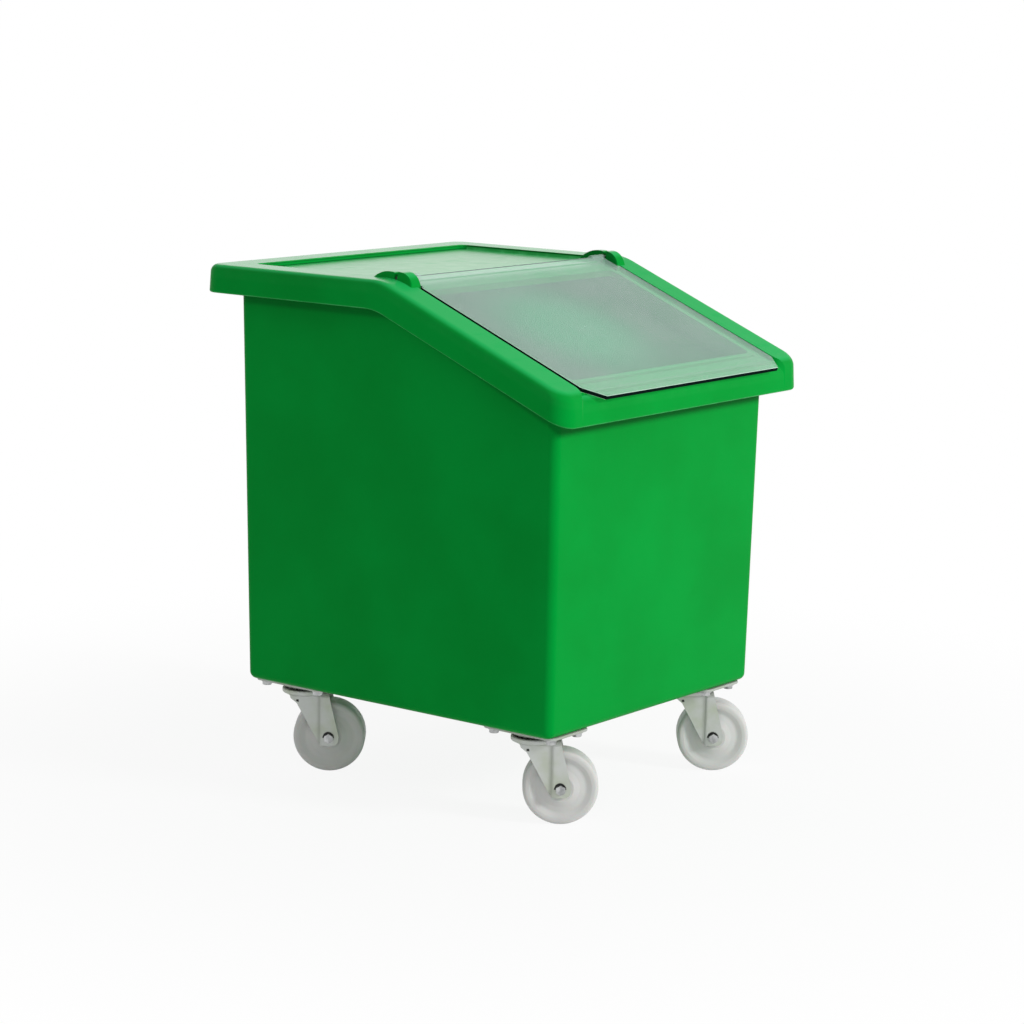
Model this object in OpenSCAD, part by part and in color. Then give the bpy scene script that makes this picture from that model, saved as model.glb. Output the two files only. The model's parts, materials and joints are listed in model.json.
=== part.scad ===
// Rolling flour bin: a tapered moulded tub on four swivel casters, under a lift-off hood whose
// sloped front half has a window and a clear hinged flap.
// Origin on the floor below the middle of the tub, +Z up, +X to the right and -Y to the front.

/* [Tub] */
// Outside width of the tub at its base
tub_w = 373; // [300:1:480]
// Outside depth of the tub at its base
tub_d = 422; // [340:1:520]
// Height of the tub from its base to its rim at the back
tub_h = 458; // [360:1:560]
// Outward lean of the tub's walls, in degrees
tub_draft = 0.8; // [0.3:0.1:1.5]
// Wall thickness of the tub
tub_wall = 4.5; // [3:0.5:6]
// Radius of the tub's upright corners
tub_corner_r = 10; // [8:1:30]
// Radius of the edge round the tub's base
tub_base_r = 8; // [7:0.5:10]
// Width of the rim that is turned out at the top
rim_flange_w = 20.5; // [10:0.5:24]
// Thickness of the turned-out rim
rim_flange_t = 4; // [3:0.5:6]

/* [Hood] */
// Wall thickness of the hood
hood_wall = 4; // [3:0.5:5]
// Gap between the tub's rim and the inside of the skirt
hood_fit = 4.5; // [2:0.5:8]
// Height of the skirt from the rail's top to its lower edge
skirt_h = 30.5; // [24:0.5:45]
// How far behind the middle the skirt's lower edge breaks into the slope
break_y = 1.5; // [-30:0.5:30]
// Fall of the front half, in degrees
slope_a = 22.2; // [16:0.1:26]
// Radius of the hood's upright corners
hood_corner_r = 22; // [16:1:30]
// Radius of the hood's top edge
hood_edge_r = 9; // [6:0.5:12]
// Width of the two side rails
rail_w = 42; // [40:0.5:52]
// Width of the rear rail
rear_rail_w = 41; // [34:0.5:60]
// Depth of the recess between the rails
recess_t = 6; // [5:0.5:7]
// Corner radius of the recess and of the window
recess_corner_r = 8; // [4:1:12]
// Width of the window's ledge at the sides
ledge_side = 15; // [12:1:30]
// Width of the window's ledge at the break
ledge_top = 20; // [16:1:40]
// Width of the window's ledge at the front
ledge_front = 33; // [30:1:60]
// Height of the sill round the window, which the flap rests on
sill_h = 2; // [1:0.1:3]

/* [Hinge ears] */
// Height of both humps above the flat rail
hump_h = 7; // [5:0.5:9]
// Radius of the low rear hump
rear_hump_r = 35; // [25:1:45]
// Radius of the rounder front hump
front_hump_r = 17; // [15:1:24]
// How far the ears reach out over the rail
ear_out = 10.5; // [8:0.5:14]
// How far the front hump's boss reaches in over the bay
boss_in = 5; // [4:0.5:14]

/* [Flap] */
// Thickness of the clear flap
flap_t = 4.5; // [3:0.5:5]
// Gap between the flap and each side rail
flap_side_gap = 3; // [2:0.5:5]
// How far the flap stands out past the hood's front as a grip
flap_overhang = 8; // [3:0.5:14]
// Width of the flap's cut front corners
corner_cut_w = 18; // [10:1:30]
// Length of the flap's cut front corners
corner_cut_l = 22; // [10:1:40]
// Diameter of the hinge pins
pin_d = 4; // [3:0.5:5]
// Radius of the flap's hinge knuckles
knuckle_r = 3.5; // [3:0.1:4]
// Length of each hinge knuckle
knuckle_l = 24; // [16:1:40]

/* [Casters] */
// Overall height of a caster
caster_h = 103; // [98:1:125]
// Distance of the swivel axes from the tub's sides at the base
caster_inset_x = 43.2; // [42:0.1:60]
// Distance of the swivel axes from the tub's front and back at the base
caster_inset_y = 49.9; // [49:0.1:70]
// Way the trailing wheels point, in degrees from +X
caster_turn = -52.5; // [-180:0.5:180]
// Wheel diameter
wheel_d = 80; // [70:1:84]
// Width of the tread
wheel_w = 30; // [24:1:33]
// Horizontal distance from the swivel axis to the axle
trail = 27.3; // [22:0.1:30]
// Plate size across the bin
plate_w = 67; // [62:1:75]
// Plate size along the bin
plate_d = 95; // [88:1:105]
// Thickness of the plate
plate_t = 3; // [2:0.5:4]
// Hole spacing across the bin
hole_sx = 45; // [42:1:50]
// Hole spacing along the bin
hole_sy = 75; // [70:1:80]
// Diameter of the plate's bolts
bolt_d = 6; // [5:1:8]
// Diameter of the axle bolt
axle_d = 6; // [5:1:10]
// Space between the fork's legs
fork_in = 36; // [35:0.5:40]
// Sheet thickness of the fork
leg_t = 2.5; // [2:0.5:3]
// Number of balls in the swivel race
ball_count = 18; // [8:1:20]

/* [Hidden] */
$fn = 64;
overrun = 5;          // how far a cut runs past a face
seat_gap = 0.3;       // rest gap between bodies that part
run_fit = 0.05;       // radial clearance of a pin or shaft that turns
bolt_clear = 0.3;     // radial clearance of a bolt in a plain hole
hull_fn = 32;         // facets of the rounded mouldings

// Levels and outline of tub and hood
base_z = caster_h;
rim_z = base_z + tub_h;
bin_h = rim_z + seat_gap + hood_wall;
function half_w(z) = tub_w / 2 + (z - base_z) * tan(tub_draft);
function half_d(z) = tub_d / 2 + (z - base_z) * tan(tub_draft);
rim_hw = half_w(rim_z) + rim_flange_w;
rim_hd = half_d(rim_z) + rim_flange_w;
hood_hw = rim_hw + hood_fit + hood_wall;
hood_hd = rim_hd + hood_fit + hood_wall;

// The hood's top, and every surface at depth n under it, is flat behind the break and sloped before it
top_break_y = break_y - skirt_h * tan(slope_a / 2);
function break_at(n) = top_break_y + n * tan(slope_a / 2);
function top_z(y, n) = bin_h - n - tan(slope_a) * max(0, break_at(n) - y);
function sheet_line(n, y0, y1) = concat(
    [[y1, top_z(y1, n)]],
    break_at(n) > y0 && break_at(n) < y1 ? [[break_at(n), bin_h - n]] : [],
    [[y0, top_z(y0, n)]]);
function reversed(list) = [for (i = [len(list) - 1 : -1 : 0]) list[i]];

// Depths under the rail's top
tray_n = recess_t + hood_wall;
rim_n = hood_wall + seat_gap;
rim_front_n = tray_n + seat_gap;
rim_step_y = -tub_d / 2 + tub_corner_r;

// Recess and window
recess_hw = hood_hw - rail_w;
recess_y1 = hood_hd - rear_rail_w;
window_hw = recess_hw - ledge_side;
window_y0 = -hood_hd + ledge_front;
window_y1 = top_break_y - ledge_top;
sill_w = 5;           // width of the sill round the window

// Hinge line: level with the flap on its sill, just behind the break
hinge_back = 2;       // hinge line behind the break
rear_hump_back = 9.5; // crest of the rear hump behind the hinge line
front_hump_fore = 5;  // crest of the front hump before it
ear_gap = 1.5;        // clearance between boss, knuckle and flap
hinge_y = top_break_y + hinge_back;
hinge_z = bin_h - recess_t + sill_h + seat_gap + knuckle_r;
slot_w = 3.4;         // narrower than the pin, which snaps in
panel_rise = 1;       // step from the flap's bay up to the panel behind it
bay_y1 = hinge_y + knuckle_r + ear_gap;
ear_hw0 = recess_hw;
ear_hw1 = recess_hw + ear_out;
rear_hump_y = hinge_y + rear_hump_back;
front_hump_y = hinge_y - front_hump_fore;
boss_y1 = hinge_y - knuckle_r - ear_gap;
pin_stop = 5;         // solid end of a knuckle behind its pin
pin_end_gap = 1;      // room past the pin's outer end

// Flap, measured down the slope from the hinge line
flap_hw = recess_hw - flap_side_gap;
flap_l = (hinge_y + hood_hd + flap_overhang) / cos(slope_a);
// Height of the hinge line over the sloped floor, square to it
hinge_rise = (hinge_z - bin_h + recess_t) * cos(slope_a) - (hinge_y - break_at(recess_t)) * sin(slope_a);
flap_low = sill_h + seat_gap - hinge_rise;
notch_hw = recess_hw - boss_in - ear_gap;
notch_l = (hinge_y - front_hump_y + front_hump_r) / cos(slope_a) + ear_gap;
pin_grip = knuckle_l - pin_stop;

// Caster levels, from the plate down
wheel_r = wheel_d / 2;
race_h = 4;           // pressed upper race under the plate
race_gap = 2.4;       // open gap between the races
cup_h = 5;            // lower race cup
crown_t = 3;          // top of the fork
plate_z = caster_h - plate_t;
race_z = plate_z - race_h;
cup_top_z = race_z - race_gap;
cup_z = cup_top_z - cup_h;
crown_z = cup_z - crown_t;
ball_z = (race_z + cup_top_z) / 2;
ball_d = 5;           // swivel balls
ball_pitch_r = 20;    // radius of their ring
race_r0 = 15;         // inside radius of both races
race_r1 = 25;         // outside radius of the upper race
cup_lip = 1;          // how far the cup stands out past the race
plate_corner_r = 9;   // round corners of the plate
king_r = 5;           // pin that the fork turns on
king_head_r = 9;      // its head under the fork
king_head_h = 3;      // height of that head

// Fork
leg_lead = 16;        // reach of the leg's top before the swivel axis
leg_end_r = 11;       // round end of the leg about the axle
leg_lead_a = 31;      // lean of the leading edge, degrees
leg_lead_drop = 7;    // height of the upright stretch above that edge
leg_back = 27;        // reach of the leg's top behind the swivel axis
bend_x = 19;          // place of the pressed step along the leg
bend_t = 1.2;         // height of that step
vent_d = 3.2;         // small hole in the web
vent_lead = 7;        // its place before the swivel axis
vent_drop = 4;        // its depth under the crown
leg_hw = fork_in / 2 + leg_t + bend_t;

// Wheel
sleeve_wall = 2;      // wall of the axle sleeve
sleeve_r = axle_d / 2 + sleeve_wall;
hub_r = 14;           // hub of the wheel
hub_gap = 0.5;        // running gap of the hub beside each leg
web_t = 19;           // thickness of its web
rim_t = 8;            // radial thickness of the wheel's rim
rim_in_r = wheel_r - rim_t;
tread_r = 4;          // rounding of the tread's edges

// Fasteners
hex_af_share = 1.625; // width across flats over the bolt's diameter
head_h_share = 0.66;  // head height over the bolt's diameter
nut_h_share = 0.8;    // nut height over the bolt's diameter
washer_r_share = 1.05; // washer radius over the bolt's diameter
washer_t = 2;         // thickness of a washer
tail = 2;             // thread that shows past a nut
insert_wall = 2;      // wall of a threaded insert
insert_l = 9;         // length of an insert, and of the thread in it
insert_r = bolt_d / 2 + insert_wall;
boss_wall = 4;        // wall of a blind boss round its insert
boss_h = 9.5;         // height of the bosses over the tub's floor
boss_end_gap = 1;     // room past the insert in its boss

caster_names = ["front_left", "front_right", "rear_left", "rear_right"];
caster_sides = [[-1, -1], [1, -1], [-1, 1], [1, 1]];
caster_pieces = ["plate", "king_pin", "balls", "race_cup", "fork",
    "axle_sleeve", "axle_bolt", "axle_nut", "wheel"];

green = [0, 0.55, 0.18];
clear = [0.70, 0.86, 0.78, 0.5];
zinc = [0.74, 0.76, 0.73];
nylon = [0.88, 0.88, 0.86];
steel = [0.60, 0.62, 0.62];

// Shapes that repeat

// Extrudes a side view, drawn as [y, z], across the bin from x0 to x1
module across(x0, x1) {
    translate([x0, 0, 0]) rotate([90, 0, 90]) linear_extrude(x1 - x0) children();
}

// Sheet between depths n0 and n1 under the hood's top, full width
module sheet(n0, n1, y0, y1) {
    across(-hood_hw - overrun, hood_hw + overrun)
        polygon(concat(sheet_line(n0, y0, y1), reversed(sheet_line(n1, y0, y1))));
}

// Everything under depth n
module under(n) {
    across(-hood_hw - overrun, hood_hw + overrun)
        polygon(concat(sheet_line(n, -hood_hd - overrun, hood_hd + overrun),
            [[-hood_hd - overrun, 0], [hood_hd + overrun, 0]]));
}

// Rectangle with round corners
module round_rect(hw, y0, y1, r) {
    translate([-hw + r, y0]) square([2 * (hw - r), y1 - y0]);
    translate([-hw, y0 + r]) square([2 * hw, y1 - y0 - 2 * r]);
    for (x = [-hw + r, hw - r], y = [y0 + r, y1 - r]) translate([x, y]) circle(r);
}

// Round edge of a round corner
module corner_ring(corner_r, edge_r) {
    rotate_extrude($fn = hull_fn) intersection() {
        translate([corner_r - edge_r, 0]) circle(edge_r, $fn = hull_fn);
        translate([0, -edge_r]) square([corner_r, 2 * edge_r]);
    }
}

// Middle of the tub's corner round at height z
module at_tub_corner(sx, sy, z) {
    translate([sx * (half_w(z) - tub_corner_r), sy * (half_d(z) - tub_corner_r), z]) children();
}

// Tub's body, inset from its outside
module tub_form(inset) {
    r = tub_corner_r - inset;
    edge = tub_base_r - inset;
    top = bin_h + overrun;
    hull() for (sx = [-1, 1], sy = [-1, 1]) {
        at_tub_corner(sx, sy, base_z) translate([0, 0, inset + edge]) corner_ring(r, edge);
        at_tub_corner(sx, sy, top) linear_extrude(overrun) circle(r, $fn = hull_fn);
    }
}

// Hood's body, inset from its outside, run down past the skirt
module hood_form(inset) {
    r = hood_corner_r - inset;
    edge = hood_edge_r - inset;
    cx = hood_hw - hood_corner_r;
    cy = hood_hd - hood_corner_r;
    foot_z = top_z(-hood_hd, skirt_h) - overrun;
    hull() for (sx = [-1, 1]) {
        translate([sx * cx, cy, bin_h - hood_edge_r]) corner_ring(r, edge);
        translate([sx * (hood_hw - hood_edge_r), break_at(hood_edge_r), bin_h - hood_edge_r])
            sphere(edge, $fn = hull_fn);
        translate([sx * cx, -cy, top_z(-cy, inset) - edge])
            multmatrix([[1, 0, 0, 0], [0, 1, 0, 0], [0, tan(slope_a), 1, 0], [0, 0, 0, 1]])
                corner_ring(r, edge);
        for (sy = [-1, 1]) translate([sx * cx, sy * cy, foot_z])
            linear_extrude(overrun) circle(r, $fn = hull_fn);
    }
}

// Hexagon prism by its width across flats
module hex_prism(af, h) {
    sides = 6;
    cylinder(r = af / 2 / cos(180 / sides), h = h, $fn = sides);
}

// Puts a piece of caster i on its swivel axis, with the plate square to the bin
module at_caster(i) {
    translate([caster_sides[i][0] * (tub_w / 2 - caster_inset_x),
        caster_sides[i][1] * (tub_d / 2 - caster_inset_y), 0]) children();
}

// The same, turned to the way the wheel trails
module at_fork(i) {
    at_caster(i) rotate([0, 0, caster_turn]) children();
}

// Puts a child at each hole of each caster plate
module at_plate_holes() {
    for (i = [0 : len(caster_names) - 1]) at_caster(i) plate_holes() children();
}

module plate_holes() {
    for (x = [-1, 1], y = [-1, 1]) translate([x * hole_sx / 2, y * hole_sy / 2, 0]) children();
}

// Lies along the axle, from side -1 to side 1 of the fork
module along_axle(y0) {
    translate([trail, y0, wheel_r]) rotate([-90, 0, 0]) children();
}

// Tub and hood

module tub() {
    color(green) difference() {
        union() {
            tub_form(0);
            rim_flange(rim_n, rim_step_y, rim_hd);
            rim_flange(rim_front_n, -rim_hd, rim_step_y);
        }
        difference() {
            tub_form(tub_wall);
            insert_bosses();
        }
        above_rim();
        at_plate_holes() translate([0, 0, base_z - overrun])
            cylinder(r = insert_r + run_fit, h = insert_l + boss_end_gap + overrun);
    }
}

// Blind bosses for the inserts, so that no hole opens into the tub
module insert_bosses() {
    at_plate_holes() translate([0, 0, base_z]) cylinder(r = insert_r + boss_wall, h = tub_wall + boss_h);
}

module rim_flange(n, y0, y1) {
    intersection() {
        sheet(n, n + rim_flange_t, y0, y1);
        linear_extrude(bin_h) round_rect(rim_hw, -rim_hd, rim_hd, tub_corner_r + rim_flange_w);
    }
}

// Space over the rim: the front rim lies lower, under the floor of the hood's bay
module above_rim() {
    sky = bin_h + tub_h;
    across(-hood_hw, hood_hw) polygon(concat(
        sheet_line(rim_n, rim_step_y, hood_hd),
        sheet_line(rim_front_n, -hood_hd, rim_step_y),
        [[-hood_hd, sky], [hood_hd, sky]]));
}

module hood() {
    color(green) difference() {
        union() {
            difference() {
                hood_form(0);
                hood_form(hood_wall);
                under(skirt_h);
            }
            hood_tray();
            for (side = [0, 1]) mirror([side, 0, 0]) hinge_ear();
        }
        hood_recess();
        linear_extrude(bin_h) round_rect(window_hw, window_y0, window_y1, recess_corner_r);
        for (side = [0, 1]) mirror([side, 0, 0]) pin_slot();
    }
}

// Floor and walls of the recess
module hood_tray() {
    intersection() {
        sheet(hood_wall / 2, tray_n, -hood_hd + hood_wall / 2, hood_hd);
        linear_extrude(bin_h) round_rect(recess_hw + hood_wall, -hood_hd, recess_y1 + hood_wall,
            recess_corner_r + hood_wall);
    }
}

// The recess runs out through the front and is deeper in the flap's bay; sill and ear bosses stand in it
module hood_recess() {
    difference() {
        intersection() {
            union() {
                sheet(-hood_wall, recess_t, -hood_hd - overrun, bay_y1);
                sheet(-hood_wall, recess_t - panel_rise, bay_y1 - overrun, recess_y1);
            }
            linear_extrude(bin_h + hood_wall)
                round_rect(recess_hw, -hood_hd - overrun - recess_corner_r, recess_y1, recess_corner_r);
        }
        window_sill();
        for (side = [0, 1]) mirror([side, 0, 0]) ear_boss();
    }
}

// Raised ring round the window
module window_sill() {
    intersection() {
        sheet(recess_t - sill_h, tray_n, -hood_hd, bay_y1);
        linear_extrude(bin_h) round_rect(window_hw + sill_w, window_y0 - sill_w, window_y1 + sill_w,
            recess_corner_r + sill_w);
    }
}

module rear_hump() {
    translate([rear_hump_y, bin_h + hump_h - rear_hump_r]) circle(rear_hump_r);
}

module front_hump() {
    translate([front_hump_y, bin_h + hump_h - front_hump_r]) circle(front_hump_r);
}

// Two humps over the rail, which hold the pin, and a boss over the bay
module hinge_ear() {
    intersection() {
        across(ear_hw0, ear_hw1) union() {
            rear_hump();
            front_hump();
        }
        sheet(-2 * hump_h, hood_wall, -hood_hd, hood_hd);
    }
    ear_boss();
}

module ear_boss() {
    intersection() {
        across(recess_hw - boss_in, recess_hw + hood_wall / 2) front_hump();
        sheet(-2 * hump_h, tray_n, -hood_hd, boss_y1);
    }
}

// Round seat of the hinge pin and the slot that it snaps in through
module pin_slot() {
    translate([ear_hw0 - overrun, hinge_y, hinge_z]) rotate([0, 90, 0])
        cylinder(r = pin_d / 2 + run_fit, h = ear_out + overrun);
    translate([ear_hw0 - overrun, hinge_y - slot_w / 2, hinge_z])
        cube([ear_out + overrun, slot_w, bin_h]);
}

// Flap and its hinge

module on_slope() {
    translate([0, hinge_y, hinge_z]) rotate([slope_a, 0, 0]) children();
}

module flap() {
    color(clear) on_slope() difference() {
        union() {
            translate([0, 0, flap_low]) linear_extrude(flap_t) flap_outline();
            for (side = [-1, 1]) translate([side * (flap_hw - knuckle_l / 2), 0, 0]) rotate([0, 90, 0])
                cylinder(r = knuckle_r, h = knuckle_l, center = true);
        }
        for (side = [0, 1]) mirror([side, 0, 0]) translate([flap_hw - pin_grip, 0, 0]) rotate([0, 90, 0])
            cylinder(d = pin_d, h = pin_grip + overrun);
    }
}

// Sheet seen square to its face: narrow between the ear bosses, cut front corners
module flap_outline() {
    right = [[notch_hw, 0], [notch_hw, -notch_l], [flap_hw, -notch_l], [flap_hw, -flap_l + corner_cut_l],
        [flap_hw - corner_cut_w, -flap_l]];
    polygon(concat(right, reversed([for (p = right) [-p[0], p[1]]])));
}

module hinge_pin() {
    color(steel) translate([flap_hw - pin_grip, hinge_y, hinge_z]) rotate([0, 90, 0])
        cylinder(d = pin_d, h = ear_hw1 - pin_end_gap - flap_hw + pin_grip);
}

// Casters

module caster_plate() {
    color(zinc) difference() {
        union() {
            translate([0, 0, plate_z]) linear_extrude(plate_t)
                round_rect(plate_w / 2, -plate_d / 2, plate_d / 2, plate_corner_r);
            translate([0, 0, race_z]) cylinder(r = race_r1, h = race_h);
        }
        translate([0, 0, race_z - overrun]) cylinder(r = race_r0, h = race_h + overrun);
        cylinder(r = king_r, h = caster_h + overrun);
        ball_groove();
        plate_holes() translate([0, 0, plate_z - overrun])
            cylinder(d = bolt_d + 2 * bolt_clear, h = plate_t + 2 * overrun);
    }
}

module ball_groove() {
    translate([0, 0, ball_z]) rotate_extrude() translate([ball_pitch_r, 0]) circle(ball_d / 2 + seat_gap);
}

module caster_balls() {
    color(steel) for (i = [0 : ball_count - 1]) rotate([0, 0, i * 360 / ball_count])
        translate([ball_pitch_r, 0, ball_z]) sphere(d = ball_d);
}

module king_pin() {
    color(steel) {
        translate([0, 0, crown_z - seat_gap]) cylinder(r = king_r, h = caster_h - crown_z + seat_gap);
        translate([0, 0, crown_z - seat_gap - king_head_h]) cylinder(r = king_head_r, h = king_head_h);
    }
}

module race_cup() {
    color(zinc) difference() {
        translate([0, 0, cup_z]) cylinder(r = race_r1 + cup_lip, h = cup_h);
        translate([0, 0, cup_z - overrun]) cylinder(r = race_r0, h = cup_h + 2 * overrun);
        ball_groove();
    }
}

module fork() {
    color(zinc) difference() {
        union() {
            translate([0, 0, crown_z]) linear_extrude(crown_t) {
                circle(race_r1);
                translate([-leg_lead, -fork_in / 2 - leg_t])
                    square([leg_lead + leg_back, fork_in + 2 * leg_t]);
            }
            for (side = [0, 1]) mirror([0, side, 0]) {
                translate([0, fork_in / 2, 0]) upright(leg_t) leg_profile();
                translate([0, fork_in / 2, 0]) upright(leg_t + bend_t) step_profile();
            }
        }
        cylinder(r = king_r + run_fit, h = caster_h);
        along_axle(-leg_hw - overrun) cylinder(d = axle_d, h = 2 * (leg_hw + overrun));
        translate([-vent_lead, -leg_hw - overrun, crown_z - vent_drop]) rotate([-90, 0, 0])
            cylinder(d = vent_d, h = 2 * (leg_hw + overrun));
    }
}

// Extrudes a drawing of [x, z] towards +Y
module upright(t) {
    translate([0, t, 0]) rotate([90, 0, 0]) linear_extrude(t) children();
}

// Point where the leading edge meets the leg's round end, and its height above
leg_foot = [trail - leg_end_r * cos(leg_lead_a), wheel_r - leg_end_r * sin(leg_lead_a)];
leg_neck_z = crown_z - leg_lead_drop;
leg_neck = [leg_foot[0] - (leg_neck_z - leg_foot[1]) * tan(leg_lead_a), leg_neck_z];

module leg_profile() {
    polygon([[-leg_lead, crown_z], leg_neck, leg_foot, [trail, wheel_r], [trail + leg_end_r, wheel_r],
        [leg_back, crown_z]]);
    translate([trail, wheel_r]) circle(leg_end_r);
}

// Stretch of the leg behind the pressed step
module step_profile() {
    intersection() {
        leg_profile();
        translate([bend_x, 0]) square([wheel_d, crown_z]);
    }
}

module axle_sleeve() {
    color(steel) along_axle(-fork_in / 2) difference() {
        cylinder(r = sleeve_r, h = fork_in);
        translate([0, 0, -overrun]) cylinder(d = axle_d, h = fork_in + 2 * overrun);
    }
}

module axle_bolt() {
    head_h = axle_d * head_h_share;
    nut_h = axle_d * nut_h_share;
    color(steel) {
        along_axle(-leg_hw - head_h) hex_prism(axle_d * hex_af_share, head_h);
        along_axle(-leg_hw) cylinder(d = axle_d, h = 2 * leg_hw + nut_h + tail);
    }
}

module axle_nut() {
    nut_h = axle_d * nut_h_share;
    color(steel) along_axle(leg_hw) difference() {
        hex_prism(axle_d * hex_af_share, nut_h);
        translate([0, 0, -overrun]) cylinder(d = axle_d, h = nut_h + 2 * overrun);
    }
}

module wheel() {
    color(nylon) along_axle(0) rotate_extrude() difference() {
        wheel_section();
        translate([0, -wheel_r]) square([sleeve_r + run_fit, wheel_d]);
    }
}

// Half section: hub, thinner web and a rim with a rounded tread
module wheel_section() {
    half_hub = fork_in / 2 - hub_gap;
    half_web = web_t / 2;
    half_rim = wheel_w / 2;
    translate([0, -half_hub]) square([hub_r, 2 * half_hub]);
    translate([0, -half_web]) square([rim_in_r + tread_r, web_t]);
    translate([rim_in_r, -half_rim]) square([wheel_r - tread_r - rim_in_r, wheel_w]);
    translate([rim_in_r, -half_rim + tread_r]) square([wheel_r - rim_in_r, wheel_w - 2 * tread_r]);
    for (side = [-1, 1]) translate([wheel_r - tread_r, side * (half_rim - tread_r)]) circle(tread_r);
}

// Fasteners that hold the plates to the tub's base

module caster_bolts() {
    head_h = bolt_d * head_h_share;
    color(steel) at_plate_holes() translate([0, 0, plate_z - washer_t]) {
        translate([0, 0, -head_h]) hex_prism(bolt_d * hex_af_share, head_h);
        cylinder(d = bolt_d, h = washer_t + plate_t + insert_l);
    }
}

module caster_washers() {
    color(steel) at_plate_holes() translate([0, 0, plate_z - washer_t]) difference() {
        cylinder(r = bolt_d * washer_r_share, h = washer_t);
        translate([0, 0, -overrun]) cylinder(d = bolt_d, h = washer_t + 2 * overrun);
    }
}

module caster_inserts() {
    color(steel) at_plate_holes() translate([0, 0, base_z]) difference() {
        cylinder(r = insert_r, h = insert_l);
        translate([0, 0, -overrun]) cylinder(d = bolt_d, h = insert_l + 2 * overrun);
    }
}

tub();
hood();
flap();
mirror([1, 0, 0]) hinge_pin();  // left_hinge_pin
hinge_pin();  // right_hinge_pin
caster_bolts();
caster_washers();
caster_inserts();
for (i = [0 : len(caster_names) - 1]) {
    name = caster_names[i];
    at_caster(i) caster_plate();
    at_caster(i) king_pin();
    at_fork(i) caster_balls();
    at_fork(i) race_cup();
    at_fork(i) fork();
    at_fork(i) axle_sleeve();
    at_fork(i) axle_bolt();
    at_fork(i) axle_nut();
    at_fork(i) wheel();
}
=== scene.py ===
import json
import bmesh
import bpy
import numpy as np
from mathutils import Matrix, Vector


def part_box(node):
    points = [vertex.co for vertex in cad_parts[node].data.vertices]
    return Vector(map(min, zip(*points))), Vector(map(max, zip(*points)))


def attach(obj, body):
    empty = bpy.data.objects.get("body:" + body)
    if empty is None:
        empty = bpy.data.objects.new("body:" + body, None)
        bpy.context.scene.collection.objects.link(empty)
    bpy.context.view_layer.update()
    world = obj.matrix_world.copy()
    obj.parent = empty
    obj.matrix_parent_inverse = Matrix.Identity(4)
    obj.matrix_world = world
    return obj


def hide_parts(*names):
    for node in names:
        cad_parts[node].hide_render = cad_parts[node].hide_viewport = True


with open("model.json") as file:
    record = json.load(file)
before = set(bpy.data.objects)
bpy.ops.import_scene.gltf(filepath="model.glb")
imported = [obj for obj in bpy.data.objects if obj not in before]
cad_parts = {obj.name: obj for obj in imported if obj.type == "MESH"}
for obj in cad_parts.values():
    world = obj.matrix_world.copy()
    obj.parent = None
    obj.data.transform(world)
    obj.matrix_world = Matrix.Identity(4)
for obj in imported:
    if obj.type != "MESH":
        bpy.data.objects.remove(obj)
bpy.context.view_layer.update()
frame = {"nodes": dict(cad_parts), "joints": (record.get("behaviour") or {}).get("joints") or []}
mm = 0.001
jointAt = {j["name"]: np.array(j.get("pos_m") or (0, 0, 0)) / mm for j in frame["joints"]}
print("frame loaded:", len(frame["nodes"]), "nodes")


def reach(node):
    # lowest and highest corner of a CAD node, in mm
    low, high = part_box(node)
    return np.array(low) / mm, np.array(high) / mm


# Shader wiring

class Wire:
    # a shader socket that can stand in a sum: each operator adds one Math node
    def __init__(self, tree, socket):
        self.tree = tree
        self.socket = socket

    def node(self, kind, settings, inputs, out=0):
        # any node: its type, its settings, the values or links of its sockets, the output that is wanted
        made = self.tree.nodes.new(kind)
        for key, value in settings.items():
            setattr(made, key, value)
        for key, value in inputs.items():
            if isinstance(value, Wire):
                self.tree.links.new(value.socket, made.inputs[key])
            else:
                made.inputs[key].default_value = value
        return Wire(self.tree, made.outputs[out])

    def maths(self, operation, *values):
        return self.node("ShaderNodeMath", {"operation": operation}, dict(enumerate(values)))

    def __add__(self, other):
        return self.maths("ADD", self, other)

    def __radd__(self, other):
        return self.maths("ADD", other, self)

    def __sub__(self, other):
        return self.maths("SUBTRACT", self, other)

    def __rsub__(self, other):
        return self.maths("SUBTRACT", other, self)

    def __mul__(self, other):
        return self.maths("MULTIPLY", self, other)

    def __rmul__(self, other):
        return self.maths("MULTIPLY", other, self)

    def above(self, low, high):
        # 0 below low, 1 above high, smooth between
        settings = {"interpolation_type": "SMOOTHSTEP"}
        inputs = {"Value": self, "From Min": low, "From Max": high}
        return self.node("ShaderNodeMapRange", settings, inputs)

    def tint(self, colourA, colourB):
        # from colour A at 0 to colour B at 1
        return self.node("ShaderNodeMix", {"data_type": "RGBA"}, {0: self, 6: colourA, 7: colourB}, 2)

    def noise(self, scale, detail=2.0, stretch=(1, 1, 1)):
        # grain of `scale` lumps to the metre, on this wire as coordinates
        spread = self.node("ShaderNodeVectorMath", {"operation": "MULTIPLY"}, {0: self, 1: stretch})
        return self.node("ShaderNodeTexNoise", {}, {"Vector": spread, "Scale": scale, "Detail": detail})

    def rubbedOrLit(self):
        # how worn each point of the mesh is, or how much painted light, painted shade or painted black it
        # carries
        return self.node("ShaderNodeAttribute", {"attribute_name": "rubOrPaintedLight"}, {}, "Fac")

    def bump(self, depth):
        # this wire as relief, `depth` mm from 0 to 1
        return self.node("ShaderNodeBump", {}, {"Height": self, "Distance": depth * mm, "Strength": 1.0})

    def into(self, socket, node="Principled BSDF"):
        self.tree.links.new(self.socket, self.tree.nodes[node].inputs[socket])

    def shaded(self):
        # what the Principled shader gives
        return Wire(self.tree, self.tree.nodes["Principled BSDF"].outputs[0])


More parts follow.
